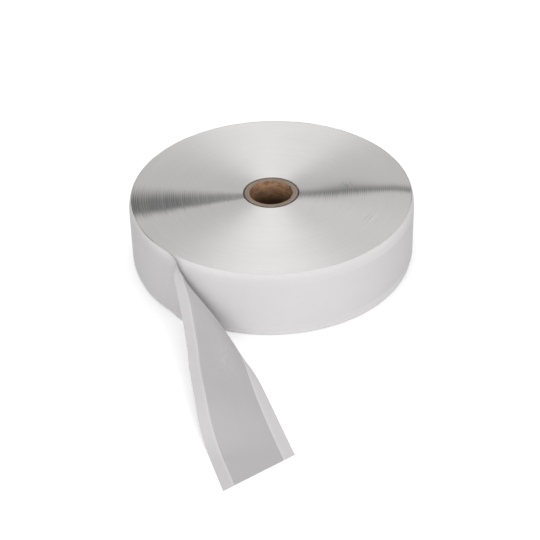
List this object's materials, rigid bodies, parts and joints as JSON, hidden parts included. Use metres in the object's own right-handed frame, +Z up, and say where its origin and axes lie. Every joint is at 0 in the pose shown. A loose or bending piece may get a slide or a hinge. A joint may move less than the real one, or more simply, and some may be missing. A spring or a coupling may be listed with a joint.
{
  "type": "roll of sealing tape",
  "caption": "Large roll of pale sealing tape on a thick board core, with its loose end folded over and laid out, showing the grey coat between two fleece edges.",
  "frame": {"origin": "on the roll's axis, half-way up the tape's width, which is the part's centre of volume", "axes": "+Z up along the core's axis, and -Y towards the loose end"},
  "size_m": [0.4999, 0.8631, 0.125],
  "materials": {
    "kraft_liner": "matte brown kraft paper",
    "grey_board": "matte grey-brown board, cut edge showing its plies",
    "paper_tab": "matte paper tab",
    "wound_edges": "silky wound edges of a non-woven tape",
    "fleece_carrier": "fine white non-woven fleece",
    "sealing_coat": "smooth grey elastic sealing coat"
  },
  "bodies": {
    "roll": {"core_liner_ply": "kraft_liner", "core_board_ply_1": "grey_board", "core_board_ply_2": "grey_board", "core_board_ply_3": "grey_board", "core_board_ply_4": "grey_board", "core_cover_ply": "kraft_liner", "starter_tab": "paper_tab", "wound_tape": "wound_edges"},
    "outer_turn": {"outer_turn_carrier": "fleece_carrier", "outer_turn_coating": "sealing_coat"},
    "tail_fold": {"tail_fold_carrier": "fleece_carrier", "tail_fold_coating": "sealing_coat"},
    "tail_end": {"tail_end_carrier": "fleece_carrier", "tail_end_coating": "sealing_coat"}
  },
  "joints": [
    {"name": "unwind", "type": "hinge", "parent": "roll", "child": "outer_turn", "pos_m": [0, 0, 0], "axis": [0, 0, 1], "continuous": true},
    {"name": "tail_swing", "type": "hinge", "parent": "outer_turn", "child": "tail_fold", "pos_m": [-0.1708, -0.18804, 0], "axis": [0, 0, -1], "range_deg": [0, 35]},
    {"name": "tail_lift", "type": "hinge", "parent": "tail_fold", "child": "tail_end", "pos_m": [-0.04932, -0.50722, -0.05973], "axis": [-0.9574, -0.2872, 0.0283], "range_deg": [0, 75]}
  ]
}
